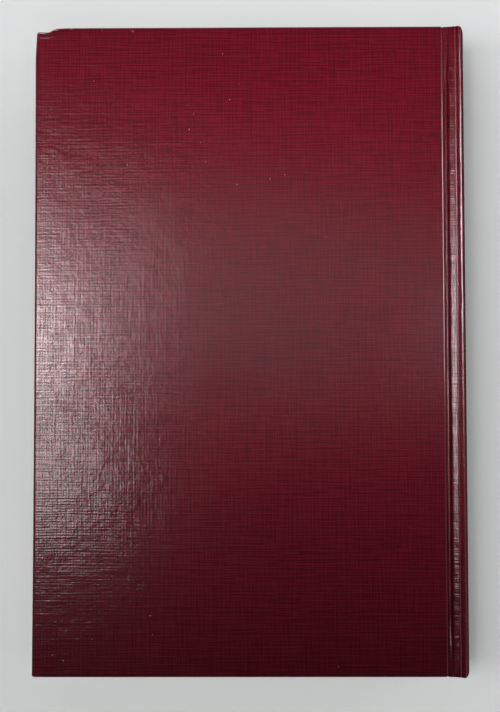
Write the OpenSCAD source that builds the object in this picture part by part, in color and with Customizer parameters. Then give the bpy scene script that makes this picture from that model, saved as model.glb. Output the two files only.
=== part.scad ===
// Case-bound hardback book, closed and lying on its front cover.
// X runs from the fore-edge to the spine, Y from tail to head and Z up from front cover to back cover.
// The origin is at the centre of the footprint, on the surface that the book lies on.

/* [Pages] */
// Width of the outer pages, from the shoulder to the fore-edge
page_w = 150.1; // [100:0.1:220]
// Height of the pages
page_h = 228.6; // [150:0.1:320]
// Thickness of all the pages together
pages_t = 18; // [10:0.5:45]
// How far the back of the pages is rounded out, and the fore-edge hollowed in
round_out = 2.6; // [1:0.1:4.5]
// Thickness of an endpaper
paper_t = 0.25; // [0.15:0.05:0.5]

/* [Boards] */
// Thickness of a cover board
board_t = 2.5; // [1.6:0.1:4]
// How far the boards stand past the pages at head, tail and fore-edge
square_w = 3.2; // [2:0.1:6]
// Slack between a closed cover and the endpaper under it
rest_gap = 0.1; // [0.05:0.05:0.5]
// Height that the cloth on the board's back edge stays clear of the board's inner face
edge_gap = 0.4; // [0.2:0.1:1]

/* [Joint] */
// From the board's edge to the tip of the pages' shoulder
joint_w = 4.8; // [4:0.1:8]
// Width of the flat floor of the groove
groove_w = 1.6; // [1:0.1:2.4]
// Width of the steep side of the shoulder
rise_w = 1.1; // [0.6:0.1:1.6]
// Height of the shoulder at the top of its steep side
shoulder_h = 1.6; // [0.8:0.1:1.8]
// Further rise from there to the tip of the shoulder
crown_h = 0.45; // [0.1:0.05:0.6]
// Depth of the crease in the cloth between the shoulder and the spine
crease_d = 0.4; // [0.2:0.05:0.5]

/* [Spine] */
// Thickness of the card that stiffens the spine
inlay_t = 0.8; // [0.4:0.1:1.6]
// How far the card runs past the boards at head and tail
inlay_over = 0.5; // [0:0.1:1]
// Thickness of the gauze glued over the back of the pages
mull_t = 0.3; // [0.2:0.05:0.6]
// How far the gauze stops short of the pages' head and tail
mull_short = 16; // [13:1:40]
// Thickness of the paper lining on the gauze
lining_t = 0.3; // [0.2:0.05:0.6]
// Hollow between the lining and the card
hollow_w = 0.5; // [0.5:0.1:2]
// Thickness of the glue under the lining, and between the card and the cloth turned in behind it
glue_t = 0.02; // [0.02:0.01:0.06]
// Diameter of the bead of a headband
bead_d = 1.6; // [1:0.1:2.6]
// Length of the headband's tape down the back of the pages
tape_l = 12; // [6:1:13]

/* [Cloth] */
// Thickness of the cover cloth
cloth_t = 0.4; // [0.25:0.05:0.4]
// Width of cloth turned in over the inside of a board
turn_in = 15; // [10:1:25]
// Border of turned-in cloth that the pasted-down paper leaves bare
turn_bare = 3.5; // [2:0.5:8]
// Slit where the turned-in cloth meets at a mitred corner
mitre_w = 0.2; // [0.1:0.05:0.5]
// Radius of the cloth over the long edges of a board
edge_r = 0.8; // [0.4:0.1:0.8]

/* [Bumped corner] */
// Length of the head edge that is pushed in at the back cover's outer corner
bump_w = 8.2; // [3:0.1:15]
// How far the head edge is pushed in there
bump_d = 1.4; // [0.2:0.1:3]
// Length of the fore-edge that is pushed in
bump_l = 11; // [4:0.1:15]
// How far the fore-edge is pushed in
bump_in = 0.5; // [0.1:0.1:1.5]

/* [Hidden] */
$fn = 96;
// Straight pieces in a long arc, in the side of the shoulder and in the bumped corner's bend
arc_steps = 24;
rise_steps = 8;
bend_steps = 6;
// Overlap of shapes that join, and how far a cutting shape reaches past what it cuts
eps = 0.01;
past = 1;

board_w = page_w + square_w - joint_w;
board_h = page_h + 2 * square_w;
cover_t = cloth_t + board_t + cloth_t + paper_t;
book_t = pages_t + 2 * (paper_t + rest_gap + cover_t);
mid_z = book_t / 2;

// Heights above the middle of the book
pages_top = pages_t / 2;
fly_top = pages_top + paper_t;
mull_top = fly_top + mull_t;
board_under = mid_z - cloth_t - board_t;
tip_h = pages_top + shoulder_h + crown_h;

// Radii of the rounded back, all about one line
back_r = (pow(tip_h, 2) + pow(round_out, 2)) / (2 * round_out);
mull_r = back_r + mull_t;
lining_r = mull_r + glue_t + lining_t;
inlay_r = lining_r + hollow_w;
spine_r = inlay_r + inlay_t;
outer_r = spine_r + cloth_t;

// Places along X. The spine's outermost line and the cloth at the fore-edge are as far from the middle
spine_out = joint_w + round_out + (outer_r - back_r);
book_w = cloth_t + board_w + spine_out;
fore_x = -book_w / 2 + cloth_t;
joint_x = fore_x + board_w;
groove_x = joint_x + cloth_t;
page_fore_x = fore_x + square_w;
tip_x = joint_x + joint_w;
back_cx = tip_x + round_out - back_r;

// The card's half width, and the angles at which the layers of the back end
inlay_half = tip_h + paper_t;
inlay_a = asin(inlay_half / spine_r);
back_a = asin(tip_h / back_r);
mull_a = asin((tip_h + paper_t) / mull_r);
lining_a = asin((tip_h - lining_t) / lining_r);
inlay_x = back_cx + spine_r * cos(inlay_a);
spine_h = board_h + 2 * inlay_over;

// A section drawn in X and Z about the middle of the book, drawn out along Y
module along_y(length) {
    translate([0, 0, mid_z]) rotate([90, 0, 0])
        linear_extrude(length, center = true) children();
}

// The same shape on the other side of the book's middle
module front_side() {
    translate([0, 0, mid_z]) mirror([0, 0, 1]) translate([0, 0, -mid_z]) children();
}

// Smooth step from 0 to 1
function ease(t) = t * t * (3 - 2 * t);

// Points on an arc about the line of the rounded back
function back_arc(r, from, to) =
    [for (i = [0 : arc_steps]) let (a = from + (to - from) * i / arc_steps)
        [back_cx + r * cos(a), r * sin(a)]];

// A line over the pages from the joint to the tip of the shoulder, raised by the layers under it
function shoulder_line(raise) = concat(
    [for (i = [0 : rise_steps]) let (t = i / rise_steps)
        [joint_x + groove_w + rise_w * t, pages_top + shoulder_h * ease(t) + raise]],
    [[tip_x, tip_h + raise]]
);

// Points in the opposite order, and on the other side of the middle
function reversed(points) = [for (i = [len(points) - 1 : -1 : 0]) points[i]];
function mirrored(points) = [for (p = reversed(points)) [p[0], -p[1]]];

// Points down the hollow of the fore-edge, from its upper corner to its lower one
function fore_arc() =
    let (r = (pow(pages_top, 2) + pow(round_out, 2)) / (2 * round_out), half_a = asin(pages_top / r))
    [for (i = [0 : arc_steps]) let (a = half_a * (1 - 2 * i / arc_steps))
        [page_fore_x + round_out - r + r * cos(a), r * sin(a)]];

// The outline of the pages, with the hollow fore-edge
module pages_section() {
    polygon(concat(
        shoulder_line(0),
        back_arc(back_r, back_a, -back_a),
        mirrored(shoulder_line(0)),
        reversed(fore_arc())
    ));
}

module text_block() {
    color("ivory") along_y(page_h) pages_section();
}

// The free half of the back endpaper, from the fore-edge to the tip of the shoulder
module back_flyleaf() {
    color("linen") along_y(page_h) polygon(concat(
        [[page_fore_x, fly_top]], shoulder_line(paper_t),
        reversed(shoulder_line(0)), [[page_fore_x, pages_top]]
    ));
}

module front_flyleaf() {
    front_side() back_flyleaf();
}

// Gauze round the back of the pages and over both shoulders, as far as the grooves
module mull() {
    over = concat([[groove_x, mull_top]], shoulder_line(paper_t + mull_t));
    under = concat([[groove_x, fly_top]], shoulder_line(paper_t), [[tip_x, tip_h]]);
    color("gainsboro") along_y(page_h - 2 * mull_short) polygon(concat(
        over, back_arc(mull_r, mull_a, -mull_a), mirrored(over),
        reversed(mirrored(under)), back_arc(back_r, -back_a, back_a), reversed(under)
    ));
}

// A layer that follows the rounded back between two radii
module back_layer(r_in, r_out, half_a, length) {
    along_y(length) polygon(concat(back_arc(r_out, half_a, -half_a), back_arc(r_in, -half_a, half_a)));
}

module spine_lining() {
    color("burlywood") back_layer(mull_r + glue_t, lining_r, lining_a, page_h);
}

module spine_card() {
    color("tan") back_layer(inlay_r, spine_r, inlay_a, spine_h);
}

// A band with a round bead that sits on the pages, and a tape glued to their back
module headband() {
    color("wheat") translate([back_cx, 0, mid_z]) rotate([90, 0, 0])
        rotate([0, 0, -lining_a]) rotate_extrude(angle = 2 * lining_a) mirror([0, 1]) {
            translate([back_r, page_h / 2 - tape_l]) square([mull_t, tape_l + bead_d / 2]);
            translate([back_r + mull_t - bead_d / 2, page_h / 2 + bead_d / 2]) circle(d = bead_d);
        }
}

module headband_head() {
    headband();
}

module headband_tail() {
    mirror([0, 1, 0]) headband();
}

// Line along the outside of the cloth: groove, shoulder, crease, then round the edge of the card
function cloth_over() = concat(
    [[groove_x, mull_top + cloth_t]],
    shoulder_line(paper_t + mull_t + cloth_t),
    [[(tip_x + inlay_x) / 2 - crease_d / 2, tip_h + paper_t + mull_t + cloth_t - crease_d]],
    [for (a = [90, (90 + inlay_a) / 2, inlay_a])
        [inlay_x + cloth_t * cos(a), inlay_half + cloth_t * sin(a)]]
);

// The inside of the same cloth, lowered by its thickness
function cloth_under() = concat(
    [[groove_x, mull_top]],
    shoulder_line(paper_t + mull_t),
    [[(tip_x + inlay_x) / 2 - crease_d / 2, tip_h + paper_t + mull_t - crease_d]]
);

// The cloth from one groove round the spine to the other
module cloth_section() {
    polygon(concat(
        cloth_over(), back_arc(outer_r, inlay_a, -inlay_a), mirrored(cloth_over()),
        reversed(mirrored(cloth_under())), back_arc(spine_r, -inlay_a, inlay_a), reversed(cloth_under())
    ));
}

// The cloth that is turned in behind the card, as wide as the card's inner face less the cloth's thickness
module turned_section() {
    half_a = asin((inlay_half - cloth_t) / inlay_r);
    polygon(concat(
        back_arc(inlay_r - glue_t, half_a, -half_a),
        back_arc(inlay_r - cloth_t, -half_a, half_a)
    ));
}

// The end of the spine, where the cloth folds over the card
module cap_section() {
    polygon(concat(
        back_arc(spine_r + eps, inlay_a, -inlay_a),
        back_arc(inlay_r - cloth_t, -inlay_a, inlay_a)
    ));
}

module spine_cloth() {
    color([0.42, 0.1, 0.15]) union() {
        along_y(spine_h + 2 * cloth_t) cloth_section();
        for (end = [-1, 1]) {
            translate([0, end * (spine_h + cloth_t) / 2, 0]) along_y(cloth_t) cap_section();
            translate([0, end * (spine_h - turn_in + eps) / 2, 0]) along_y(turn_in + eps) turned_section();
        }
    }
}

// The outline at the head of the fore-edge: a square corner, or a bumped one. The fore-edge slants in,
// a small bend leads to the head edge, and that edge comes back out in an S over the outer half of bump_w
function corner_line(x0, y1, bumped) = !bumped ? [[x0, y1]] : concat(
    [[x0, y1 - bump_l]],
    [for (i = [0 : bend_steps]) let (a = 180 - 90 * i / bend_steps)
        [x0 + bump_in * (2 + cos(a)), y1 - bump_d - bump_in * (1 - sin(a))]],
    [for (i = [0 : rise_steps]) let (t = i / rise_steps)
        [x0 + bump_w * (1 + t) / 2, y1 - bump_d * (1 - ease(t))]]
);

// A board's outline in X and Y, grown by the cloth round it
module board_outline(grow, bumped) {
    x0 = fore_x - grow;
    x1 = joint_x + grow;
    y1 = board_h / 2 + grow;
    polygon(concat([[x1, y1], [x1, -y1], [x0, -y1]], corner_line(x0, y1, bumped)));
}

module board(bumped) {
    color("gray") translate([0, 0, mid_z + board_under]) linear_extrude(board_t) board_outline(0, bumped);
}

// A rectangle with round corners, from its centre
module rounded_rect(w, h, r) {
    square([w, h - 2 * r], center = true);
    square([w - 2 * r, h], center = true);
    for (x = [-1, 1], y = [-1, 1]) translate([x * (w / 2 - r), y * (h / 2 - r)]) circle(r);
}

// A covered board as one closed shape, with its edges rounded
module covered_board(bumped) {
    t = board_t + 2 * cloth_t;
    cx = (fore_x + joint_x) / 2;
    cz = mid_z + board_under + board_t / 2;
    intersection() {
        translate([0, 0, cz - t / 2]) linear_extrude(t) board_outline(cloth_t, bumped);
        translate([cx, 0, cz]) rotate([90, 0, 0])
            linear_extrude(board_h + 2 * past, center = true) rounded_rect(board_w + 2 * cloth_t, t, edge_r);
        translate([cx, 0, cz]) rotate([90, 0, 90])
            linear_extrude(board_w + 2 * past, center = true) rounded_rect(board_h + 2 * cloth_t, t, edge_r);
    }
}

// The inside of a board that the turned-in cloth leaves open, out past the joint
module turn_in_opening() {
    x0 = fore_x + turn_in;
    half = board_h / 2 - turn_in;
    translate([x0, -half]) square([joint_x + past - x0, 2 * half]);
    for (y = [-1, 1]) translate([x0, y * half]) rotate([0, 0, y * 135])
        translate([-mitre_w, -mitre_w / 2]) square([(turn_in - cloth_t) * sqrt(2), mitre_w]);
}

// Cloth over a board: outer face, edges and the strips turned in over the inner face
module board_cloth(bumped) {
    color([0.42, 0.1, 0.15]) difference() {
        covered_board(bumped);
        translate([0, 0, mid_z + board_under]) linear_extrude(board_t) board_outline(0, bumped);
        translate([0, 0, mid_z + board_under - cloth_t - eps])
            linear_extrude(cloth_t + 2 * eps) turn_in_opening();
        translate([joint_x, -board_h, mid_z + board_under - cloth_t - eps])
            cube([past, 2 * board_h, cloth_t + edge_gap]);
    }
}

// The half of an endpaper that is pasted down over the board and over the turned-in cloth
module pastedown() {
    x0 = fore_x + turn_bare;
    x1 = joint_x;
    half = board_h / 2 - turn_bare;
    in_x0 = fore_x + turn_in;
    in_half = board_h / 2 - turn_in;
    top = mid_z + board_under;
    color("linen") difference() {
        translate([x0, -half, top - cloth_t - paper_t]) cube([x1 - x0, 2 * half, cloth_t + paper_t]);
        difference() {
            translate([x0 - past, -half - past, top - cloth_t])
                cube([x1 - x0 + 2 * past, 2 * (half + past), cloth_t + past]);
            translate([in_x0, -in_half, top - cloth_t - past])
                cube([x1 - in_x0 + 2 * past, 2 * in_half, cloth_t + 2 * past]);
        }
        translate([in_x0 + paper_t, -in_half + paper_t, top - cloth_t - paper_t - past])
            cube([x1 - in_x0, 2 * (in_half - paper_t), cloth_t + past]);
    }
}

module back_board() {
    board(true);
}

module back_cloth() {
    board_cloth(true);
}

module back_pastedown() {
    pastedown();
}

module front_board() {
    front_side() board(false);
}

module front_cloth() {
    front_side() board_cloth(false);
}

module front_pastedown() {
    front_side() pastedown();
}

text_block();
front_flyleaf();
back_flyleaf();
headband_head();
headband_tail();
mull();
spine_lining();
spine_card();
spine_cloth();
front_board();
front_cloth();
front_pastedown();
back_board();
back_cloth();
back_pastedown();
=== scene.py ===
import math

import bmesh
import bpy
import numpy as np
from mathutils import Euler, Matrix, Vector


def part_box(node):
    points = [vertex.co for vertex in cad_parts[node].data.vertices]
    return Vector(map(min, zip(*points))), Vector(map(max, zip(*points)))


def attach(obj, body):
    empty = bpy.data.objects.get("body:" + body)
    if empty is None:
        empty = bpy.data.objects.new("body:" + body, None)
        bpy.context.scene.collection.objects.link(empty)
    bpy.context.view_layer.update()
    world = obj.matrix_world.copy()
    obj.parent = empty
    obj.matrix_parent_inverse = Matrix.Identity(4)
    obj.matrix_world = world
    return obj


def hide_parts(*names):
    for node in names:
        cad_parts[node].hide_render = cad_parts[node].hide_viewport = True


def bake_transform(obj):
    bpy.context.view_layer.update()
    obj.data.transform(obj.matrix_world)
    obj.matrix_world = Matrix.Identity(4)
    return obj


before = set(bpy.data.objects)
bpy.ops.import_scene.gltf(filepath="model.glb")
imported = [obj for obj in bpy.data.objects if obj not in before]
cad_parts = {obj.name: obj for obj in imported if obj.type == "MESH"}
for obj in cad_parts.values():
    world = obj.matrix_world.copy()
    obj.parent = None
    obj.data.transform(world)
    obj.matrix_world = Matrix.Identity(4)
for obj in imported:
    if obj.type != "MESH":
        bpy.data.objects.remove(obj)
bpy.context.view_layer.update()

# Sizes that part.scad names too, in metres
MM = 0.001
TURN_IN = 15 * MM
TURN_BARE = 3.5 * MM
GROOVE_W = 1.6 * MM
RISE_W = 1.1 * MM
SHOULDER_H = 1.6 * MM
CROWN_H = 0.45 * MM
CREASE_D = 0.4 * MM
BUMP_W = 8.2 * MM
BUMP_D = 1.4 * MM
BUMP_L = 11 * MM
BUMP_IN = 0.5 * MM

# Places read from the frame
board_lo, board_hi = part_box("back_board")
cloth_lo, cloth_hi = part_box("back_cloth")
pages_lo, pages_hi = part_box("text_block")
fly_lo, fly_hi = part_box("back_flyleaf")
card_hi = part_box("spine_card")[1]
spine_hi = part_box("spine_cloth")[1]
paste_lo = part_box("back_pastedown")[0]
mull_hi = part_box("mull")[1]

TOP = cloth_hi.z
MID = TOP / 2
CLOTH_T = cloth_hi.z - board_hi.z
JOINT_X = board_hi.x
TIP_X = fly_hi.x
PAGES_TOP = fly_lo.z - MID
TIP_H = pages_hi.z - MID
PAPER_T = fly_hi.z - pages_hi.z
MULL_T = mull_hi.z - fly_hi.z
ROUND_OUT = pages_hi.x - TIP_X
BACK_R = (TIP_H ** 2 + ROUND_OUT ** 2) / (2 * ROUND_OUT)
BACK_CX = pages_hi.x - BACK_R
SPINE_R = card_hi.x - BACK_CX
OUTER_R = spine_hi.x - BACK_CX
CARD_HALF = card_hi.z - MID
CARD_X = BACK_CX + math.sqrt(SPINE_R ** 2 - CARD_HALF ** 2)
GROOVE_TOP = PAGES_TOP + PAPER_T + MULL_T + CLOTH_T
PASTE_IN = paste_lo.z + CLOTH_T
PASTE_EDGE_X = JOINT_X - 0.05 * MM

# Roundness of the cloth over a board's edges, and how thick the shown cloth is
EDGE_R = 0.95 * MM
JOINT_EDGE_R = 1.0 * MM
SHOWN_T = 0.25 * MM
# How far above the turned-in cloth's face the cloth on the joint edge starts
JOINT_EDGE_FROM = 0.79 * MM
# The finest step of the cloth's grid, and how far from an edge the grid is closer
EDGE_STEP = 0.1 * MM
EDGE_REACH = 1.2 * MM

# The photograph's camera: the point that it looks at, how far off it stands and how it is turned
CAMERA_AIM = Vector((-0.96, -1.81, 0)) * MM
CAMERA_DISTANCE = 400 * MM
CAMERA_TURN = (math.radians(2.27), math.radians(0.39), math.radians(-0.12))
CAMERA_LENS = 52.3

# Colours of the lights, and how bright the room is, which is also how bright the table's painted glow is
# far from the book
PANEL_COLOUR = (1.0, 0.92, 0.93)
WINDOW_COLOUR = (0.96, 1.0, 1.0)
ROOM_AND_PAINTED_TABLE_GLOW = 0.4

# Folds in the cloth at the bumped corner, in millimetres from that corner: along the head, down the
# fore-edge, half length, half width, turn in radians and rise
CORNER_FOLDS = [
    (2.8, 2.5, 2.3, 0.16, 0.04, -0.14),
    (5.6, 2.0, 0.9, 0.20, 0.45, -0.12),
    (6.3, 3.4, 1.3, 0.22, -0.55, -0.05),
    (3.4, 3.5, 2.6, 0.60, 0.05, 0.06),
]
# Worn spots, where the cloth's fibre shows pale: the same measures without a rise
WORN_SPOTS = [
    (2.4, 2.05, 1.45, 0.13, 0.0),
    (4.8, 1.62, 1.0, 0.11, 0.12),
    (7.8, 0.95, 0.8, 0.14, 0.1),
    (0.9, 235.7, 0.7, 0.16, 0.0),
    (13.2, 0.5, 0.3, 0.12, 0.2),
    (35.8, 1.2, 0.4, 0.13, 0.5),
]
# How far below the cover's face the wear reaches
WEAR_DEPTH = 1.5 * MM
# How far the push on the bumped corner reaches into the cover
BUMP_FADE = 5 * MM
# How far the middle of the fore-edge is drawn in, and how far that reaches into the cover
FORE_EDGE_BOW = 0.25 * MM
FORE_EDGE_BOW_REACH = 12 * MM
# Dust on the back cover, in millimetres right of and below its corner of head and fore-edge
DUST_PLACES = [
    (71.3, 27.0), (58.1, 32.2), (68.7, 10.1), (86.0, 56.2), (91.3, 54.7), (73.9, 58.2), (60.6, 42.7),
    (62.6, 49.8), (74.7, 21.0), (33.9, 50.9), (35.8, 1.7), (24.5, 1.1), (21.6, 19.9), (56.5, 37.9),
    (5.5, 32.5), (43.4, 220.5), (21.7, 222.1), (7.5, 227.9), (11.4, 229.7), (6.8, 214.3), (42.6, 213.8),
    (106.3, 77.6), (109.9, 231.9),
]


# Meshes

def finish_piece(obj, material, smooth=True):
    """Puts the material on the piece and shades it smooth or flat."""
    obj.data.materials.clear()
    obj.data.materials.append(material)
    obj.data.polygons.foreach_set("use_smooth", [smooth] * len(obj.data.polygons))
    return obj


def mesh_piece(name, patches, weld=1e-6):
    """One object from grids of points. Each patch is its points and their places on the flat cloth."""
    verts, faces, corner_uv, base = [], [], [], 0
    for points, uv in patches:
        n, m = points.shape[:2]
        verts.append(points.reshape(-1, 3))
        flat_uv = uv.reshape(-1, 2)
        i, j = np.meshgrid(np.arange(n - 1), np.arange(m - 1), indexing="ij")
        first = (i * m + j).ravel()
        quads = np.stack([first, first + m, first + m + 1, first + 1], 1)
        faces.append(quads + base)
        corner_uv.append(flat_uv[quads].reshape(-1, 2))
        base += n * m
    mesh = bpy.data.meshes.new(name)
    mesh.from_pydata(np.concatenate(verts).tolist(), [], np.concatenate(faces).tolist())
    layer = mesh.uv_layers.new(name="Weave")
    layer.uv.foreach_set("vector", np.concatenate(corner_uv).astype(np.float32).ravel())
    work = bmesh.new()
    work.from_mesh(mesh)
    bmesh.ops.remove_doubles(work, verts=work.verts, dist=weld)
    bmesh.ops.recalc_face_normals(work, faces=work.faces)
    work.to_mesh(mesh)
    work.free()
    obj = bpy.data.objects.new(name, mesh)
    bpy.context.scene.collection.objects.link(obj)
    return obj


def points_of(obj):
    """The points of a mesh, n by 3."""
    return np.array([v.co for v in obj.data.vertices], float).reshape(-1, 3)


def set_points(obj, points):
    """Moves the points of a mesh."""
    obj.data.vertices.foreach_set("co", points.astype(np.float32).ravel())
    obj.data.update()


def steps(*stretches):
    """Places along a line from stretches of (from, to, step), with no place twice."""
    places = [stretches[0][0]]
    for start, end, step in stretches:
        count = max(1, round(abs(end - start) / step))
        places += list(np.linspace(start, end, count + 1)[1:])
    return np.array(places)


def ease(t):
    """A smooth step from 0 to 1."""
    t = np.clip(t, 0, 1)
    return t * t * (3 - 2 * t)


def apply_modifiers(obj):
    """Turns an object's modifiers into plain mesh."""
    bpy.context.view_layer.update()
    evaluated = obj.evaluated_get(bpy.context.evaluated_depsgraph_get())
    mesh = bpy.data.meshes.new_from_object(evaluated)
    old = obj.data
    obj.modifiers.clear()
    obj.data = mesh
    bpy.data.meshes.remove(old)


def thicken(obj, thickness):
    """Gives a sheet its thickness on the inside."""
    solid = obj.modifiers.new("thickness", "SOLIDIFY")
    solid.thickness = thickness
    solid.offset = -1
    apply_modifiers(obj)


# Materials

class Nodes:
    """A short way to build a material's nodes."""

    def __init__(self, name):
        self.material = bpy.data.materials.new(name)
        self.material.use_nodes = True
        self.tree = self.material.node_tree
        self.shader = self.tree.nodes["Principled BSDF"]

    def add(self, kind, **values):
        node = self.tree.nodes.new(kind)
        for key, value in values.items():
            setattr(node, key, value)
        return node

    def link(self, source, target):
        self.tree.links.new(source, target)
        return target

    def math(self, operation, a, b=None):
        node = self.add("ShaderNodeMath", operation=operation)
        for socket, value in zip(node.inputs, (a, b)):
            if isinstance(value, (int, float)):
                socket.default_value = value
            elif value is not None:
                self.link(value, socket)
        return node.outputs[0]

    def noise(self, vector, size, detail=2.0, seed=0.0):
        """Noise whose lumps measure about size along each axis of the vector."""
        scaled = self.add("ShaderNodeVectorMath", operation="MULTIPLY")
        self.link(vector, scaled.inputs[0])
        scaled.inputs[1].default_value = [1 / s for s in size]
        shifted = self.add("ShaderNodeVectorMath", operation="ADD")
        self.link(scaled.outputs[0], shifted.inputs[0])
        shifted.inputs[1].default_value = (seed, seed * 1.7, seed * 0.6)
        texture = self.add("ShaderNodeTexNoise", noise_dimensions="3D")
        texture.inputs["Scale"].default_value = 1.0
        texture.inputs["Detail"].default_value = detail
        texture.inputs["Roughness"].default_value = 0.55
        self.link(shifted.outputs[0], texture.inputs["Vector"])
        return texture.outputs["Fac"]

    def ramp(self, factor, stops):
        node = self.add("ShaderNodeValToRGB")
        while len(node.color_ramp.elements) < len(stops):
            node.color_ramp.elements.new(0.5)
        for element, (place, colour) in zip(node.color_ramp.elements, stops):
            element.position = place
            element.color = (*colour, 1)
        self.link(factor, node.inputs["Fac"])
        return node.outputs["Color"]

    def rib(self, vector, axis, period, seed):
        """Ribs across one axis that wander a little. They run from -0.5 to 0.5."""
        apart = self.add("ShaderNodeSeparateXYZ")
        self.link(vector, apart.inputs[0])
        along, across = RIB_WANDER
        size = (along, across, 1) if axis == "Y" else (across, along, 1)
        wander = self.math("MULTIPLY", self.noise(vector, size, 1, seed), RIB_SWAY)
        turns = self.math("MULTIPLY", apart.outputs[axis], 2 * math.pi / period)
        return self.math("MULTIPLY", self.math("SINE", self.math("ADD", turns, wander)), 0.5)

    def pile(self, height, more, share):
        """Lays a share of one height on another."""
        return self.math("ADD", height, self.math("MULTIPLY", more, share))

    def bump(self, height, distance, strength=1.0):
        node = self.add("ShaderNodeBump")
        node.inputs["Distance"].default_value = distance
        node.inputs["Strength"].default_value = strength
        self.link(height, node.inputs["Height"])
        self.link(node.outputs["Normal"], self.shader.inputs["Normal"])
        self.link(node.outputs["Normal"], self.shader.inputs["Coat Normal"])

    def mix(self, factor, colour, other):
        node = self.add("ShaderNodeMix", data_type="RGBA")
        self.link(factor, node.inputs["Factor"])
        self.link(colour, node.inputs["A"])
        node.inputs["B"].default_value = (*other, 1)
        return next(socket for socket in node.outputs if socket.type == "RGBA")

    def attribute(self, name):
        return self.add("ShaderNodeAttribute", attribute_name=name).outputs["Fac"]

    def set(self, **values):
        for key, value in values.items():
            self.shader.inputs[key.replace("_", " ")].default_value = value

    def place(self):
        return self.add("ShaderNodeTexCoord").outputs["Object"]

    def weave(self):
        return self.add("ShaderNodeUVMap", uv_map="Weave").outputs["UV"]


# The embossed threads: (length along the thread, width across it, height). Here and below, lengths are in
# millimetres on the flat cloth, and heights are shares of the depth that the material is given
THREADS_ALONG = [(9.0, 0.6, 0.8), (14.0, 1.2, 0.3)]
THREADS_DOWN = [(8.0, 0.65, 0.6), (12.0, 1.3, 0.25)]
# The fine unevenness of the threads: (size, height)
FUZZ = (2, 0.1)
# The regular ribs of the weave in each direction: (period, height)
RIBS_ALONG = [(0.95, 0.44), (1.5, 0.28)]
RIBS_DOWN = [(1.0, 0.3), (1.6, 0.18)]
# The wander of the ribs: its size along and across them, and how strong it is in radians
RIB_WANDER = (20.0, 2.5)
RIB_SWAY = 10.0
# Lumps in the board and glue under the cloth: (size, height)
LUMPS = [(12.0, 5.0), (4.2, 3.8), (1.8, 2.4)]
# How strongly the weave's height is painted into the colour, as shade in the gaps and light on the crests,
# and sets the gloss, and the darkest and lightest of that painted shading
THREAD_SHADING_CONTRAST = 2.4
PAINTED_THREAD_SHADING = (0.66, 1.4)
# How glossy the gaps between the threads are, and the threads
THREAD_GLOSS = (0.5, 1.0)
CLOTH_COLOUR = (0.0995, 0.0033, 0.0098)
CLOTH_GLOSS = (1.0, 0.08, 0.145, 1)
COAT_ROUGHNESS = 0.16
COAT_IOR = 2.0
FIBRE_COLOUR = (0.62, 0.42, 0.40)


def thread_relief(n, at):
    """The height of threads and ribs, and the height halfway between gaps and crests."""
    size, fuzz = FUZZ
    height = n.math("MULTIPLY", n.noise(at, (size, size, 1), 1, 5.2), fuzz)
    middle = (fuzz + sum(share for *_, share in THREADS_ALONG + THREADS_DOWN)) / 2
    for k, (along, across, share) in enumerate(THREADS_ALONG):
        height = n.pile(height, n.noise(at, (along, across, 1), 1, 7.3 * k), share)
    for k, (along, across, share) in enumerate(THREADS_DOWN):
        height = n.pile(height, n.noise(at, (across, along, 1), 1, 11.9 + k), share)
    for axis, ribs in (("Y", RIBS_ALONG), ("X", RIBS_DOWN)):
        for k, (period, share) in enumerate(ribs):
            height = n.pile(height, n.rib(at, axis, period, 1.9 + k), share)
    return height, middle


def cloth_colour(n, at, shade_and_gloss):
    """The cloth's red with painted shade in the gaps of the weave and painted light on its crests, and the
    pale fibre bared where it is worn.
    """
    dark, light = ([c * k for c in CLOTH_COLOUR] for k in PAINTED_THREAD_SHADING)
    colour = n.ramp(shade_and_gloss, [(0.15, dark), (0.5, CLOTH_COLOUR), (0.85, light)])
    worn = n.attribute("Wear")
    fray = n.math("ADD", n.noise(at, (0.5, 0.25, 1), 3, 9.0), 0.5)
    bared = n.ramp(n.math("MULTIPLY", worn, fray), [(0.25, (0, 0, 0)), (0.6, (1, 1, 1))])
    return n.mix(bared, colour, FIBRE_COLOUR)


def cloth_material(name, depth):
    """Glazed book cloth with an embossed weave of the given depth. A Wear attribute bares the fibre."""
    n = Nodes(name)
    at = n.weave()
    threads, middle = thread_relief(n, at)
    height = threads
    for k, (size, share) in enumerate(LUMPS):
        height = n.pile(height, n.noise(at, (size, size, 1), 2, 3.1 + 4 * k), share)
    n.bump(height, depth)
    # The weave's height, which paints shade into the gaps and light onto the crests of the colour, and
    # sets the gloss
    shade_and_gloss = n.math("ADD", n.math("MULTIPLY", n.math("SUBTRACT", threads, middle), THREAD_SHADING_CONTRAST), 0.5)
    n.link(cloth_colour(n, at, shade_and_gloss), n.shader.inputs["Base Color"])
    n.set(Roughness=0.6, Specular_IOR_Level=0.5, Specular_Tint=CLOTH_GLOSS)
    n.set(Coat_Weight=sum(THREAD_GLOSS) / 2, Coat_Roughness=COAT_ROUGHNESS, Coat_IOR=COAT_IOR)
    gaps, crests = ((k, k, k) for k in THREAD_GLOSS)
    n.link(n.ramp(shade_and_gloss, [(0.1, gaps), (0.9, crests)]), n.shader.inputs["Coat Weight"])
    return n.material


def paper_material(name, colour, size=0.4, depth=0.01, contrast=0.05):
    """Paper, board or gauze: fibre of the given size and depth in millimetres, and a faint cloudiness."""
    n = Nodes(name)
    at = n.place()
    fibre = n.noise(at, (size * MM, size * MM, size * MM), 4)
    cloud = n.noise(at, (14 * MM, 14 * MM, 14 * MM), 3, 4.0)
    mixed = n.math("ADD", n.math("MULTIPLY", fibre, 0.8), n.math("MULTIPLY", cloud, 0.2))
    dark = tuple(c * (1 - contrast) for c in colour)
    light = tuple(min(1, c * (1 + contrast)) for c in colour)
    n.link(n.ramp(mixed, [(0.3, dark), (0.5, colour), (0.7, light)]), n.shader.inputs["Base Color"])
    n.bump(fibre, depth * MM, 0.6)
    n.set(Roughness=0.85, Specular_IOR_Level=0.25)
    return n.material


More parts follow.
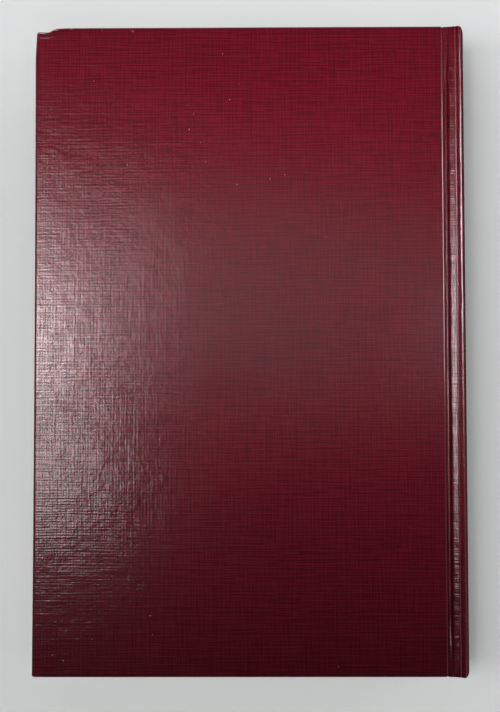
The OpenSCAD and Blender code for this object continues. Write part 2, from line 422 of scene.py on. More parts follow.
def leaf_material(name, colour):
    """Page edges, where each leaf and each gathering is a little lighter or darker than the next."""
    n = Nodes(name)
    at = n.place()
    leaf = n.noise(at, (70 * MM, 70 * MM, 0.12 * MM), 2)
    few = n.noise(at, (50 * MM, 50 * MM, 0.45 * MM), 1, 2.0)
    gathering = n.noise(at, (120 * MM, 120 * MM, 1.6 * MM), 1, 5.0)
    tone = n.math("ADD", n.math("MULTIPLY", leaf, 0.35), n.math("MULTIPLY", few, 0.4))
    tone = n.math("ADD", tone, n.math("MULTIPLY", gathering, 0.25))
    dark, light = (tuple(c * k for c in colour) for k in (0.66, 1.08))
    n.link(n.ramp(tone, [(0.35, dark), (0.52, colour), (0.68, light)]), n.shader.inputs["Base Color"])
    n.bump(leaf, 0.03 * MM)
    n.set(Roughness=0.8, Specular_IOR_Level=0.2)
    return n.material


# How far apart the turns of silk lie on a headband
SILK_PERIOD = 0.42 * MM


def wound_material(name, colour):
    """Silk thread wound round a cord, side by side across the back, with painted shade in the grooves
    between the turns.
    """
    n = Nodes(name)
    apart = n.add("ShaderNodeSeparateXYZ")
    n.link(n.place(), apart.inputs[0])
    turns = n.math("MULTIPLY", apart.outputs["Z"], 2 * math.pi / SILK_PERIOD)
    ridge = n.math("ADD", n.math("MULTIPLY", n.math("SINE", turns), 0.5), 0.5)
    # Painted shade: the silk darkens to under half its colour in the grooves between the turns
    dark = tuple(c * 0.45 for c in colour)
    n.link(n.ramp(ridge, [(0.05, dark), (0.5, colour)]), n.shader.inputs["Base Color"])
    n.bump(ridge, 0.12 * MM)
    n.set(Roughness=0.5, Specular_IOR_Level=0.4)
    return n.material


# Geometry of the cloth over a board

def sheet_grid(a, b, place, sheet):
    """Points over two sets of lines, and their places on the flat cloth in millimetres."""
    u, v = np.meshgrid(a, b, indexing="ij")
    points = np.stack(np.broadcast_arrays(*place(u, v)), -1)
    return points, np.stack(np.broadcast_arrays(*sheet(u, v)), -1) / MM


def board_patches(x_lines, y_lines):
    """The cloth's outer face, its edges and the strips turned in, with square edges."""
    x0, x1 = cloth_lo.x, cloth_hi.x
    y1 = cloth_hi.y
    z0, z1 = cloth_lo.z, cloth_hi.z
    z_lines = steps((z0, z0 + EDGE_REACH, 0.2 * MM), (z0 + EDGE_REACH, z1 - EDGE_REACH, 0.3 * MM),
                    (z1 - EDGE_REACH, z1, 0.2 * MM))
    in_x, in_y = board_lo.x + TURN_IN, board_hi.y - TURN_IN
    edge_x = [x for x in x_lines if x <= in_x + 1e-9]
    strip_y = [y for y in y_lines if abs(y) <= in_y + 1e-9]
    wall = z_lines[z_lines >= z0 + JOINT_EDGE_FROM]
    patches = [
        sheet_grid(x_lines, y_lines, lambda x, y: (x, y, z1), lambda x, y: (x, y)),
        sheet_grid(z_lines, y_lines, lambda z, y: (x0, y, z), lambda z, y: (x0 - (z1 - z), y)),
        sheet_grid(wall, y_lines, lambda z, y: (x1, y, z), lambda z, y: (x1 + (z1 - z), y)),
        sheet_grid(edge_x, strip_y, lambda x, y: (x, y, z0), lambda x, y: (2 * x0 - (z1 - z0) - x, y)),
    ]
    for side in (-1, 1):
        ends = [y for y in y_lines if side * y >= in_y - 1e-9]
        patches += [
            sheet_grid(x_lines, z_lines, lambda x, z: (x, side * y1, z),
                       lambda x, z: (x, side * (y1 + z1 - z))),
            sheet_grid(x_lines, ends, lambda x, y: (x, y, z0),
                       lambda x, y: (x, side * (2 * y1 + z1 - z0) - y)),
        ]
    return patches


def rounded(points):
    """The points of a covered board with its edges and corners rounded."""
    low = np.array([cloth_lo.x, -cloth_hi.y, cloth_lo.z]) + EDGE_R
    high = np.array([cloth_hi.x - JOINT_EDGE_R, cloth_hi.y - EDGE_R, cloth_hi.z - EDGE_R])
    core = np.clip(points, low, high)
    reach = np.full(points.shape, EDGE_R)
    reach[points[:, 0] > high[0], 0] = JOINT_EDGE_R
    away = (points - core) / reach
    length = np.linalg.norm(away, axis=1, keepdims=True)
    pulled_in = core + reach * away / np.maximum(length, 1e-12) * np.minimum(length, 1)
    return np.where(length > 1e-9, pulled_in, points)


def covered_board(name, x_lines, y_lines):
    """Cloth over a board: outer face, edges and the strips turned in. The outer face is up."""
    obj = mesh_piece(name, board_patches(x_lines, y_lines))
    set_points(obj, rounded(points_of(obj)))
    return obj


def cover_lines(fine_corner):
    """Grid lines along X and Y, close together at the edges and, if asked, at the bumped corner."""
    x0, x1, y1 = cloth_lo.x, cloth_hi.x, cloth_hi.y
    in_x, in_y = board_lo.x + TURN_IN, board_hi.y - TURN_IN
    near, close = 10 * MM, 4 * MM
    fine = (0.18 if fine_corner else 1.2) * MM
    x_lines = steps((x0, x0 + EDGE_REACH, EDGE_STEP), (x0 + EDGE_REACH, x0 + near, fine),
                    (x0 + near, in_x, 1 * MM), (in_x, x1 - EDGE_REACH, 2 * MM),
                    (x1 - EDGE_REACH, x1, EDGE_STEP))
    y_lines = steps((-y1, -y1 + EDGE_REACH, EDGE_STEP), (-y1 + EDGE_REACH, -in_y, 1.2 * MM),
                    (-in_y, in_y, 2 * MM), (in_y, y1 - near, 1 * MM), (y1 - near, y1 - close, 2 * fine),
                    (y1 - close, y1 - EDGE_REACH, fine / 1.5), (y1 - EDGE_REACH, y1, EDGE_STEP))
    return x_lines, y_lines


def push_corner(points):
    """Pushes in the corner of head and fore-edge, as the back cover has it, and crumples the cloth."""
    x0, y1, z1 = cloth_lo.x, cloth_hi.y, cloth_hi.z
    along = points[:, 0] - x0
    down = y1 - points[:, 1]
    half = BUMP_W / 2
    steep, trailing, at_tip = 0.9, 0.22, 0.12
    share_x = steep * (1 - ease((along - half) / half)) + trailing * (1 - ease((along - half) / BUMP_W))
    share_x -= at_tip * (1 - ease(along / half))
    share_y = np.clip((BUMP_L - down) / (BUMP_L - BUMP_D - BUMP_IN), 0, 1)
    moved = points.copy()
    moved[:, 1] -= BUMP_D * share_x * (1 - ease(down / BUMP_FADE))
    moved[:, 0] += BUMP_IN * share_y * (1 - ease(along / BUMP_FADE))
    on_top = ease((points[:, 2] - cloth_lo.z) / (z1 - cloth_lo.z))
    for *spot, rise in CORNER_FOLDS:
        moved[:, 2] += on_top * rise * MM * spot_share(moved, spot)
    return moved


def spot_share(points, spot):
    """1 in the middle of a long spot on the back cover, falling to 0 round it."""
    right, down, long, wide, turn = spot
    dx = (points[:, 0] - cloth_lo.x) / MM - right
    dy = (cloth_hi.y - points[:, 1]) / MM - down
    across = dy * math.cos(turn) + dx * math.sin(turn)
    length = dx * math.cos(turn) - dy * math.sin(turn)
    return np.exp(-(across / wide) ** 2 - (length / long) ** 2)


def mark_wear(obj):
    """Writes how worn the cloth is at each point."""
    points = points_of(obj)
    share = np.max([spot_share(points, spot) for spot in WORN_SPOTS], axis=0)
    share *= points[:, 2] > cloth_hi.z - WEAR_DEPTH
    wear = obj.data.attributes.new("Wear", "FLOAT", "POINT")
    wear.data.foreach_set("value", share.astype(np.float32))


def bow_fore_edge(points):
    """Draws the middle of the fore-edge in a little, as the board has warped."""
    near = 1 - ease((points[:, 0] - cloth_lo.x) / FORE_EDGE_BOW_REACH)
    moved = points.copy()
    moved[:, 0] += FORE_EDGE_BOW * near * np.clip(1 - (points[:, 1] / cloth_hi.y) ** 2, 0, 1)
    return moved


def front_side(obj):
    """Turns a piece of the back half into the same piece of the front half."""
    points = points_of(obj)
    points[:, 2] = TOP - points[:, 2]
    set_points(obj, points)
    obj.data.flip_normals()
    return obj


# Geometry of the cloth from a groove to the middle of the spine

# Where the cloth runs down beside the board's edge
WALL_X = JOINT_X + CLOTH_T + 0.04 * MM
# The groove grows shallow toward head and tail, and its ends reach out a little
GROOVE_LIFT = 1.0 * MM
GROOVE_REACH = 0.12 * MM
LIFT_FROM = pages_hi.y - 16 * MM
# How far below the cover's face this lift starts, and over what depth it becomes full
LIFT_BELOW, LIFT_DEPTH = 1.3 * MM, 1.6 * MM
# How much the floor of the groove rises toward the shoulder
GROOVE_HOLLOW = 0.08 * MM
# How much earlier the cloth beside the board's edge ends than the groove
WALL_SHORT = 0.9 * MM
# The gently sloping ledge along the foot of the shoulder
LEDGE_W, LEDGE_H = 0.25 * MM, 0.08 * MM
# How much lower the cloth's rise to the shoulder ends than the pages' own shoulder would have it
SHOULDER_SET = 0.12 * MM
# How far the cloth rounds off before the card's edge, and how much it drops there
CARD_ROUND, CARD_DROP = 1.0 * MM, 0.15 * MM
# Roundness at the foot of the board's edge, and how far below the cover's face that edge starts
FOOT_R = 0.5 * MM
WALL_START = 0.5 * MM
# How far past the tip of the shoulder the crease lies
CREASE_REACH = 0.36 * MM
# How much the section's corners are softened, in general and at the card's edge
SOFT, SOFT_CARD = 0.12 * MM, 0.34 * MM
# The stretch softened more: how far past the card's edge its middle lies, its half width and its depth
SOFT_PAST, SOFT_W, SOFT_DEPTH = 0.2 * MM, 0.7 * MM, 2 * MM
# How far past the card's edge the round of the spine starts, in radians
ARC_PAST = 0.01
# Steps along the section: of the finished line, and of the line while it is softened
SECTION_STEP, FINE_STEP = 0.14 * MM, 0.04 * MM


def groove_points():
    """Points of the section from the board's edge down to the floor of the groove."""
    wall_top = TOP - MID - WALL_START
    path = [(WALL_X, h) for h in np.linspace(wall_top, GROOVE_TOP + FOOT_R, 10)]
    path += [(WALL_X + FOOT_R * (1 - math.cos(a)), GROOVE_TOP + FOOT_R * (1 - math.sin(a)))
             for a in np.linspace(0, math.pi / 2, 6)[1:]]
    floor_x = np.linspace(WALL_X + FOOT_R, JOINT_X + GROOVE_W, 8)
    return path + [(x, GROOVE_TOP + GROOVE_HOLLOW * t ** 2) for x, t in zip(floor_x, np.linspace(0, 1, 8))]


def shoulder_points():
    """Points of the section from the ledge up the shoulder to its tip and down into the crease."""
    foot_x, foot_h = JOINT_X + GROOVE_W + LEDGE_W, GROOVE_TOP + GROOVE_HOLLOW + LEDGE_H
    rise = GROOVE_TOP + SHOULDER_H - SHOULDER_SET - foot_h
    path = [(foot_x + (RISE_W - LEDGE_W) * t, foot_h + rise * float(ease(t)))
            for t in np.linspace(0, 1, 12)]
    tip_h = GROOVE_TOP + SHOULDER_H + CROWN_H
    return path + [(TIP_X, tip_h), (TIP_X + CREASE_REACH, tip_h - CREASE_D)]


def spine_points():
    """Points of the section over the card's edge and round to the middle of the spine."""
    over = CARD_HALF + CLOTH_T
    path = [(CARD_X - CARD_ROUND, over), (CARD_X - CARD_ROUND / 3, over - CARD_DROP)]
    start = math.asin(CARD_HALF / SPINE_R) - ARC_PAST
    return path + [(BACK_CX + OUTER_R * math.cos(a), OUTER_R * math.sin(a))
                   for a in np.linspace(start, 0, 40)]


def section_path():
    """Points above the middle from the board's edge over groove and shoulder to the spine's middle."""
    path = np.array(groove_points() + shoulder_points() + spine_points())
    tight, loose = (smooth_path(path, SECTION_STEP, soften) for soften in (SOFT, SOFT_CARD))
    near_card = np.exp(-((tight[:, :1] - CARD_X - SOFT_PAST) / SOFT_W) ** 2)
    near_card *= tight[:, 1:] > CARD_HALF - SOFT_DEPTH
    return tight + (loose - tight) * near_card


def smooth_path(path, step, soften):
    """The same line with points a step apart and its corners softened. Its two ends stay."""
    gaps = np.linalg.norm(np.diff(path, axis=0), axis=1)
    at = np.concatenate([[0], np.cumsum(gaps)])
    fine = np.linspace(0, at[-1], int(at[-1] / FINE_STEP))
    dense = np.stack([np.interp(fine, at, path[:, k]) for k in (0, 1)], 1)
    reach = int(3 * soften / (fine[1] - fine[0]))
    weights = np.exp(-0.5 * (np.arange(-reach, reach + 1) * (fine[1] - fine[0]) / soften) ** 2)
    weights /= weights.sum()
    before, after = dense[reach:0:-1], dense[-2:-reach - 2:-1]
    padded = np.concatenate([2 * dense[:1] - before, dense, 2 * dense[-1:] - after])
    soft = np.stack([np.convolve(padded[:, k], weights, mode="valid") for k in (0, 1)], 1)
    places = np.linspace(0, at[-1], int(at[-1] / step))
    return np.stack([np.interp(places, fine, soft[:, k]) for k in (0, 1)], 1)


# Radius of the fold at head and tail, in the groove and over the card
FOLD_R, CARD_FOLD_R = 0.33 * MM, 0.78 * MM
# How much shorter the cloth is in the groove than over the card, and over what width that changes
GROOVE_SHORT, SHORT_W = 0.25 * MM, 1.5 * MM
# How far the cloth's ear at the card's edge reaches out, and its half width
EAR_REACH, EAR_W = 0.25 * MM, 1.6 * MM
# Rings between head and middle: how far from the head they start, a place that they pass and their step
BODY_FROM, BODY_PASS, BODY_STEP = 3 * MM, 12 * MM, 1.6 * MM


def section_frame(path):
    """How far along the section each point lies, and which way is inward there."""
    gaps = np.linalg.norm(np.diff(path, axis=0), axis=1)
    along = np.concatenate([[0], np.cumsum(gaps)])
    tangent = np.gradient(path, along, axis=0)
    inward = np.stack([tangent[:, 1], -tangent[:, 0]], 1)
    return along, inward / np.linalg.norm(inward, axis=1, keepdims=True)


def head_rings(path, in_groove):
    """Places along Y of each ring from the end turned in at the head to the middle, and their depths."""
    over_card = ease((path[:, 0] - TIP_X) / SHORT_W)
    fold_r = FOLD_R + (CARD_FOLD_R - FOLD_R) * over_card
    ear = np.exp(-((path[:, 0] - CARD_X) / EAR_W) ** 2)
    at_wall = ease((WALL_X + FOOT_R - path[:, 0]) / FOOT_R)
    end_y = spine_hi.y - GROOVE_SHORT * (1 - over_card) + EAR_REACH * ear
    end_y += GROOVE_REACH * in_groove - WALL_SHORT * at_wall
    rings = [(end_y - fold_r - back, 2 * fold_r) for back in np.linspace(TURN_IN, 0, 8)]
    rings += [(end_y - fold_r + fold_r * math.sin(a), fold_r * (1 - math.cos(a)))
              for a in np.linspace(math.pi, 0, 9)[1:]]
    body = steps((spine_hi.y - BODY_FROM, BODY_PASS, BODY_STEP), (BODY_PASS, 0, BODY_STEP))
    return rings + [(np.full(len(path), y), np.zeros(len(path))) for y in body]


def spine_half(name):
    """The cloth from the back cover's edge to the middle of the spine, turned in at head and tail."""
    path = section_path()
    along, inward = section_frame(path)
    in_groove = 1 - ease((path[:, 0] - JOINT_X - GROOVE_W) / (1.4 * RISE_W))
    below_board = np.clip((TOP - MID - LIFT_BELOW - path[:, 1]) / LIFT_DEPTH, 0, 1)
    head = []
    for y, depth in head_rings(path, in_groove):
        lift = GROOVE_LIFT * in_groove * below_board * ease((y - LIFT_FROM) / (spine_hi.y - LIFT_FROM))
        x, z = path[:, 0] + inward[:, 0] * depth, MID + path[:, 1] + inward[:, 1] * depth + lift
        head.append(np.stack([x, y, z], -1))
    half = np.array(head)
    tail = half[::-1][1:].copy()
    tail[:, :, 1] *= -1
    points = np.concatenate([half, tail])
    v_step = np.linalg.norm(np.diff(points, axis=0), axis=2)
    v = np.concatenate([np.zeros((1, len(path))), np.cumsum(v_step, axis=0)])
    v -= v[len(v) // 2]
    u = np.broadcast_to(JOINT_X + along, v.shape)
    return mesh_piece(name, [(points, np.stack([u, -v], -1) / MM)])


# Geometry of the pages and endpapers

def shoulder_rise(x):
    """How far the outermost page has risen at x, from the groove to the tip of the shoulder."""
    steep = SHOULDER_H * ease((x - JOINT_X - GROOVE_W) / RISE_W)
    tip_run = TIP_X - JOINT_X - GROOVE_W - RISE_W
    return steep + CROWN_H * np.clip((x - JOINT_X - GROOVE_W - RISE_W) / tip_run, 0, 1)


LEAVES = 180
# Where a leaf begins and ends in its share of the stack
LEAF_SHARE = (0.04, 0.96)
# How uneven the leaves' ends are, in millimetres: at the fore-edge, and at head and tail
UNEVEN_FORE, UNEVEN_ENDS = 0.07, 0.06
# How far from the fore-edge a leaf has its second row of points
SECOND_ROW = 0.5 * MM


def leaf_columns(random, s):
    """X of each column of a leaf at share s of the stack, and the leaf's ends at tail and head."""
    fore_r = (PAGES_TOP ** 2 + ROUND_OUT ** 2) / (2 * ROUND_OUT)
    rise_end = JOINT_X + GROOVE_W + RISE_W
    middle = steps((JOINT_X + GROOVE_W, rise_end, RISE_W / 6), (rise_end, TIP_X, 1 * MM))
    fore_x = pages_lo.x + ROUND_OUT - fore_r + math.sqrt(fore_r ** 2 - (s * PAGES_TOP) ** 2)
    fore_x += random.uniform(0, UNEVEN_FORE) * MM
    back_x = BACK_CX + math.sqrt(BACK_R ** 2 - (s * TIP_H) ** 2)
    head_y = pages_hi.y - random.uniform(0, UNEVEN_ENDS) * MM
    tail_y = pages_lo.y + random.uniform(0, UNEVEN_ENDS) * MM
    return np.concatenate([[fore_x, fore_x + SECOND_ROW, 0], middle, [back_x]]), tail_y, head_y


def page_leaves(name):
    """Thin leaves in a stack that is hollow at the fore-edge and swells to the round back."""
    random = np.random.default_rng(7)
    verts, faces = [], []
    for k in range(LEAVES):
        low, high = (-1 + 2 * (k + edge) / LEAVES for edge in LEAF_SHARE)
        columns, tail_y, head_y = leaf_columns(random, (low + high) / 2)
        base = len(verts)
        for x in columns:
            half = PAGES_TOP + shoulder_rise(x)
            verts += [(x, y, MID + edge * half) for y in (tail_y, head_y) for edge in (low, high)]
        last = base + 4 * (len(columns) - 1)
        faces += [(base, base + 2, base + 3, base + 1), (last, last + 1, last + 3, last + 2)]
        for first in range(base, last, 4):
            faces += [(first + a, first + b, first + 4 + b, first + 4 + a)
                      for a, b in ((0, 1), (1, 3), (3, 2), (2, 0))]
    mesh = bpy.data.meshes.new(name)
    mesh.from_pydata([tuple(v) for v in verts], [], faces)
    work = bmesh.new()
    work.from_mesh(mesh)
    bmesh.ops.recalc_face_normals(work, faces=work.faces)
    work.to_mesh(mesh)
    work.free()
    obj = bpy.data.objects.new(name, mesh)
    bpy.context.scene.collection.objects.link(obj)
    return obj


# How softly the pasted-down paper steps over the edge of the turned-in cloth
STEP_W = 1.2 * MM
# The pasted-down paper's ripples, and its thickness, which leaves room for them
RIPPLE_H = 0.02 * MM
PASTE_T = PAPER_T - 0.03 * MM
# The paper at the joint: thickness, overlap, how much shorter than the pages it is and how far in it lies
HINGE_T, HINGE_LAP = 0.12 * MM, 0.04 * MM
HINGE_SHORT, HINGE_SET = 0.3 * MM, 0.1 * MM
HINGE_ROWS = 25


def turn_in_share(x, y):
    """1 where the pasted-down paper lies over the turned-in cloth, 0 where it lies on the board."""
    by_x = 1 - ease((x - board_lo.x - TURN_IN) / STEP_W)
    by_y = ease((np.abs(y) - board_hi.y + TURN_IN) / STEP_W)
    return np.maximum(by_x, by_y)


def pastedown(name):
    """The pasted-down half of the back endpaper, with the turned-in cloth's edges showing through."""
    x0, y1 = board_lo.x + TURN_BARE, board_hi.y - TURN_BARE
    in_x, in_y, near, fine = board_lo.x + TURN_IN, board_hi.y - TURN_IN, 1.6 * MM, 0.3 * MM
    xs = steps((x0, in_x - near, 2 * MM), (in_x - near, in_x + near, fine),
               (in_x + near, PASTE_EDGE_X, 2 * MM))
    ys = steps((-y1, -in_y - near, 2 * MM), (-in_y - near, -in_y + near, fine),
               (-in_y + near, in_y - near, 2.5 * MM), (in_y - near, in_y + near, fine),
               (in_y + near, y1, 2 * MM))
    x, y = np.meshgrid(xs, ys, indexing="ij")
    waves = np.sin(x / (7 * MM) + 1.3 * np.sin(y / (11 * MM))) + np.sin(y / (9 * MM) + x / (23 * MM))
    z = PASTE_IN - CLOTH_T * turn_in_share(x, y) + RIPPLE_H * waves
    obj = mesh_piece(name, [(np.stack([x, y, z], -1), np.stack([x, y], -1) / MM)])
    if obj.data.polygons[0].normal.z > 0:
        obj.data.flip_normals()
    thicken(obj, PASTE_T)
    return obj


def paper_hinge(name):
    """The fold of the endpaper at the joint, from the pasted-down half to the flyleaf, in many rows."""
    y1 = pages_hi.y - HINGE_SHORT
    ys = steps((-y1, y1, 2.5 * MM))
    top = PASTE_IN - CLOTH_T * turn_in_share(np.full(len(ys), JOINT_X), ys) + HINGE_LAP
    bottom = fly_top_z() - HINGE_LAP
    x = np.full(len(ys), PASTE_EDGE_X - HINGE_SET)
    points = np.array([np.stack([x, ys, top + (bottom - top) * t], -1)
                       for t in np.linspace(0, 1, HINGE_ROWS)])
    obj = mesh_piece(name, [(points, points[..., :2] / MM)], weld=1e-8)
    thicken(obj, HINGE_T)
    return obj


def fly_top_z():
    """The outer face of the back flyleaf."""
    return MID + PAGES_TOP + PAPER_T


# A flake of dust: its sides, height, how far it lies above the cloth and its top's share of its size
FLAKE_SIDES = 7
FLAKE_H, FLAKE_LIFT = 0.05 * MM, 0.01 * MM
FLAKE_TOP = 0.6


def flake_ring(random, centre, size):
    """The corners of one flake of dust, lying flat."""
    turn, long = random.uniform(0, math.pi), size * random.uniform(0.7, 1.3)
    ring = []
    for k in range(FLAKE_SIDES):
        a = 2 * math.pi * k / FLAKE_SIDES
        reach = long * random.uniform(0.7, 1.1) / 2
        x, y = reach * math.cos(a), reach * random.uniform(0.45, 0.7) * math.sin(a)
        out = (x * math.cos(turn) - y * math.sin(turn), x * math.sin(turn) + y * math.cos(turn), 0)
        ring.append(centre + Vector(out))
    return ring


def specks(name, places, size, seed):
    """Flakes of dust on the back cover. Places are measured from its corner of head and fore-edge."""
    random = np.random.default_rng(seed)
    work = bmesh.new()
    for right, down in places:
        centre = Vector((cloth_lo.x + right * MM, cloth_hi.y - down * MM, cloth_hi.z + FLAKE_LIFT))
        ring = flake_ring(random, centre, size)
        low = [work.verts.new(v) for v in ring]
        high = [work.verts.new(centre + (v - centre) * FLAKE_TOP + Vector((0, 0, FLAKE_H))) for v in ring]
        work.faces.new(high)
        work.faces.new(low[::-1])
        for k in range(FLAKE_SIDES):
            after = (k + 1) % FLAKE_SIDES
            work.faces.new((low[k], low[after], high[after], high[k]))
    mesh = bpy.data.meshes.new(name)
    work.to_mesh(mesh)
    work.free()
    obj = bpy.data.objects.new(name, mesh)
    bpy.context.scene.collection.objects.link(obj)
    return obj


# Build

cloth = cloth_material("cover_cloth", depth=0.015 * MM)
joint_cloth = cloth_material("joint_cloth", depth=0.028 * MM)
paper = paper_material("endpaper", (0.80, 0.77, 0.70))
pages = leaf_material("page_edges", (0.76, 0.71, 0.60))
greyboard = paper_material("greyboard", (0.30, 0.29, 0.27), size=0.8, depth=0.03, contrast=0.14)
card = paper_material("card", (0.38, 0.30, 0.19), size=0.6, depth=0.02, contrast=0.1)
kraft = paper_material("kraft", (0.36, 0.24, 0.13), size=0.5, depth=0.02, contrast=0.1)
gauze = paper_material("gauze", (0.70, 0.67, 0.58), size=0.7, depth=0.05, contrast=0.14)
band = wound_material("headband", (0.74, 0.68, 0.54))
dust_white = paper_material("dust", (0.66, 0.56, 0.54), size=0.2, depth=0.01)

for node, material in {
    "text_block": pages, "front_flyleaf": paper, "back_flyleaf": paper, "front_pastedown": paper,
    "back_pastedown": paper, "mull": gauze, "spine_lining": kraft, "spine_card": card,
    "front_board": greyboard, "back_board": greyboard, "headband_head": band, "headband_tail": band,
}.items():
    finish_piece(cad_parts[node], material, smooth=False)


def dress(piece, material, body=None, replaced=(), smooth=True):
    """Finishes a piece, ties it to a body and hides the nodes that it stands for."""
    finish_piece(piece, material, smooth)
    if body:
        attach(piece, body)
    if replaced:
        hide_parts(*replaced)


def cross_joint(piece, side, near_pages, near_cover):
    """Bakes the piece's placing into its points. The two places, those of the back half, are not used."""
    if side > 0:
        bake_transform(piece)
    else:
        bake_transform(piece)


# How far from the board's outer back edge, along X and down, the two places handed to cross_joint lie
BEND_AT_PAGES, BEND_AT_COVER = 0.85 * MM, 0.45 * MM

back_cloth = covered_board("back_cover_cloth", *cover_lines(True))
set_points(back_cloth, push_corner(bow_fore_edge(points_of(back_cloth))))
mark_wear(back_cloth)
thicken(back_cloth, SHOWN_T)
dress(back_cloth, cloth, "back_cover", ["back_cloth"])

front_cloth = front_side(covered_board("front_cover_cloth", *cover_lines(False)))
thicken(front_cloth, SHOWN_T)
dress(front_cloth, cloth, "front_cover", ["front_cloth"])

for side, name, cover in ((1, "back", "back_cover"), (-1, "front", "front_cover")):
    half = spine_half("spine_cloth_" + name)
    hinge = paper_hinge("paper_hinge_" + name)
    paste = pastedown("pasted_paper_" + name)
    if side < 0:
        for piece in (half, hinge, paste):
            front_side(piece)
    cross_joint(half, side, *((JOINT_X + away, TOP - away) for away in (BEND_AT_PAGES, BEND_AT_COVER)))
    cross_joint(hinge, side, (JOINT_X, fly_top_z()), (JOINT_X, PASTE_IN))
    dress(half, joint_cloth, None, ["spine_cloth"])
    dress(hinge, paper)
    dress(paste, paper, cover, [name + "_pastedown"])

leaves = page_leaves("page_leaves")
dress(leaves, pages, "text_block", ["text_block"], smooth=False)
dust = specks("dust_specks", DUST_PLACES, size=0.34 * MM, seed=5)
dress(dust, dust_white, "back_cover", smooth=False)


# Floor, lights and camera

def area_light(name, place, size, energy, colour):
    """A light that faces the book."""
    light = bpy.data.lights.new(name, "AREA")
    light.shape = "RECTANGLE"
    light.size, light.size_y = size
    light.energy = energy
    light.color = colour
    obj = bpy.data.objects.new(name, light)
    bpy.context.scene.collection.objects.link(obj)
    obj.location = place
    obj.rotation_euler = (-Vector(place)).to_track_quat("-Z", "Y").to_euler()
    return obj


def make_floor():
    """A pale table whose surface has a painted glow, growing away from the book, that stands in for a pale
    room.
    """
    mesh = bpy.data.meshes.new("floor")
    half = 3.0
    corners = [(-half, -half, 0), (half, -half, 0), (half, half, 0), (-half, half, 0)]
    mesh.from_pydata(corners, [], [(0, 1, 2, 3)])
    floor = bpy.data.objects.new("floor", mesh)
    bpy.context.scene.collection.objects.link(floor)
    n = Nodes("pale_table_painted_glow")
    n.set(Base_Color=(0.5, 0.5, 0.5, 1), Roughness=0.8, Specular_IOR_Level=0.0)
    distance = n.add("ShaderNodeVectorMath", operation="LENGTH")
    n.link(n.place(), distance.inputs[0])
    # Painted glow: the table gives off light more and more away from the book
    far = n.add("ShaderNodeMapRange", interpolation_type="SMOOTHSTEP")
    for socket, value in (("From Min", 0.4), ("From Max", 1.5), ("To Min", 0.0), ("To Max", ROOM_AND_PAINTED_TABLE_GLOW)):
        far.inputs[socket].default_value = value
    n.link(distance.outputs["Value"], far.inputs["Value"])
    n.set(Emission_Color=(1, 1, 1, 1))
    n.link(far.outputs["Result"], n.shader.inputs["Emission Strength"])
    mesh.materials.append(n.material)
    floor.visible_glossy = False
    return floor


def make_camera():
    """The camera that took the photograph."""
    camera = bpy.data.objects.new("camera", bpy.data.cameras.new("camera"))
    bpy.context.scene.collection.objects.link(camera)
    turn = Euler(CAMERA_TURN).to_matrix()
    camera.location = CAMERA_AIM + turn @ Vector((0, 0, CAMERA_DISTANCE))
    camera.rotation_euler = CAMERA_TURN
    camera.data.lens = CAMERA_LENS
    camera.data.sensor_width = 36
    camera.data.clip_start = 0.01
    bpy.context.scene.camera = camera


def make_room():
    """A room that is pale at the horizon and nearly dark above and below it."""
    world = bpy.data.worlds.new("room")
    world.use_nodes = True
    tree = world.node_tree
    apart = tree.nodes.new("ShaderNodeSeparateXYZ")
    tree.links.new(tree.nodes.new("ShaderNodeTexCoord").outputs["Generated"], apart.inputs[0])
    height = tree.nodes.new("ShaderNodeMapRange")
    height.inputs["From Min"].default_value = -1
    tree.links.new(apart.outputs["Z"], height.inputs["Value"])
    ramp = tree.nodes.new("ShaderNodeValToRGB")
    stops = ((0.42, 0.03), (0.48, ROOM_AND_PAINTED_TABLE_GLOW), (0.54, ROOM_AND_PAINTED_TABLE_GLOW), (0.66, 0.06), (0.72, 0.01))
    while len(ramp.color_ramp.elements) < len(stops):
        ramp.color_ramp.elements.new(0.5)
    for element, (place, glow) in zip(ramp.color_ramp.elements, stops):
        element.position = place
        element.color = (0.96 * glow, 0.98 * glow, glow, 1)
    tree.links.new(height.outputs["Result"], ramp.inputs["Fac"])
    tree.links.new(ramp.outputs["Color"], tree.nodes["Background"].inputs["Color"])
    bpy.context.scene.world = world


def light_only(light, thing, excluded=False):
    """Lets a light fall on one thing only, or on everything but that thing."""
    chosen = bpy.data.collections.new(light.name + "_falls_on")
    chosen.objects.link(thing)
    if excluded:
        chosen.collection_objects[0].light_linking.link_state = "EXCLUDE"
    light.light_linking.receiver_collection = chosen


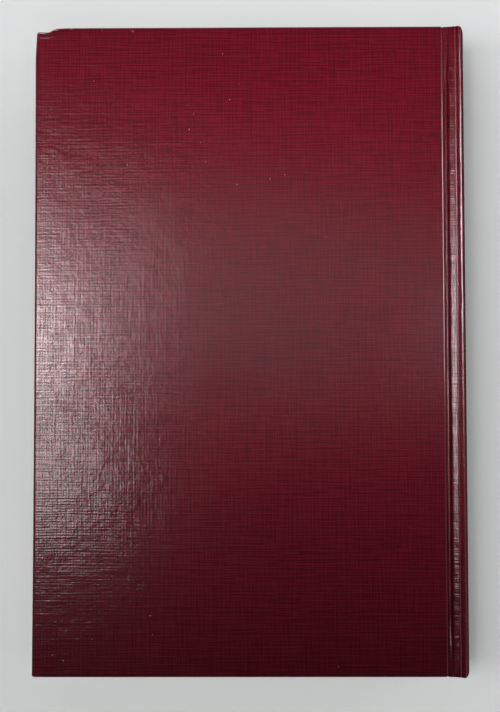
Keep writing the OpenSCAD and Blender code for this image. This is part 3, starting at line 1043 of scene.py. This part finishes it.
# Lights that the covers mirror: name, place, size, power and colour
PANELS = [
    ("panel_left", (-0.49, 0.10, 1.6), (0.16, 0.18), 1.15, PANEL_COLOUR),
    ("panel_left_tail", (-0.42, -0.15, 1.6), (0.18, 0.20), 0.58, PANEL_COLOUR),
    ("panel_left_head", (-0.47, 0.30, 1.6), (0.14, 0.14), 0.34, PANEL_COLOUR),
    ("panel_left_near", (-0.34, 0.10, 1.6), (0.09, 0.16), 0.2, PANEL_COLOUR),
    ("panel_head", (-0.25, 0.26, 1.6), (0.09, 0.16), 0.1, PANEL_COLOUR),
    ("panel_right", (0.45, 0.14, 1.6), (0.12, 0.30), 0.08, PANEL_COLOUR),
    ("window_left", (-0.80, 0.10, 1.5), (0.40, 0.40), 0.4, PANEL_COLOUR),
    ("window_right", (0.85, 0.17, 0.42), (0.30, 0.24), 2.6, WINDOW_COLOUR),
]
# Soft light from the room that reaches the book's sides, in the same order
ROOM_LIGHTS = [
    ("low_left", (-0.90, 0.0, 0.05), (0.80, 0.08), 2.0, WINDOW_COLOUR),
    ("low_right", (0.90, 0.0, 0.05), (0.80, 0.08), 1.6, WINDOW_COLOUR),
    ("low_head", (0, 0.90, 0.05), (0.80, 0.08), 1.8, WINDOW_COLOUR),
    ("low_tail", (0, -0.90, 0.05), (0.80, 0.08), 1.6, WINDOW_COLOUR),
]
# Light that falls only on the table
TABLE_LIGHTS = [
    ("table_middle", (-0.15, -0.35, 1.1), (1.4, 1.0), 6.6, WINDOW_COLOUR),
    ("table_left", (-0.60, 0, 0.9), (0.40, 0.80), 6.8, WINDOW_COLOUR),
    ("table_right", (0.90, 0.10, 0.16), (0.80, 0.25), 10.8, WINDOW_COLOUR),
    ("table_head", (0, 0.36, 0.22), (0.60, 0.20), 0.95, WINDOW_COLOUR),
]
floor = make_floor()
make_camera()
make_room()
for values in PANELS:
    area_light(*values)
for values in ROOM_LIGHTS:
    low = area_light(*values)
    low.visible_glossy = False
    light_only(low, floor, excluded=True)
for values in TABLE_LIGHTS:
    light_only(area_light(*values), floor)
# The lamp over the head's half of the book, whose light falls off toward the tail
hood = area_light("hood", (0, 0.09, 0.9), (0.60, 0.05), 0.59, WINDOW_COLOUR)
hood.rotation_euler = (0, 0, 0)
hood.data.spread = math.radians(32)
hood.visible_glossy = False
light_only(hood, floor, excluded=True)
for name in ("window_left", "window_right"):
    bpy.data.objects[name].visible_diffuse = False
bpy.context.scene.view_settings.view_transform = "Standard"
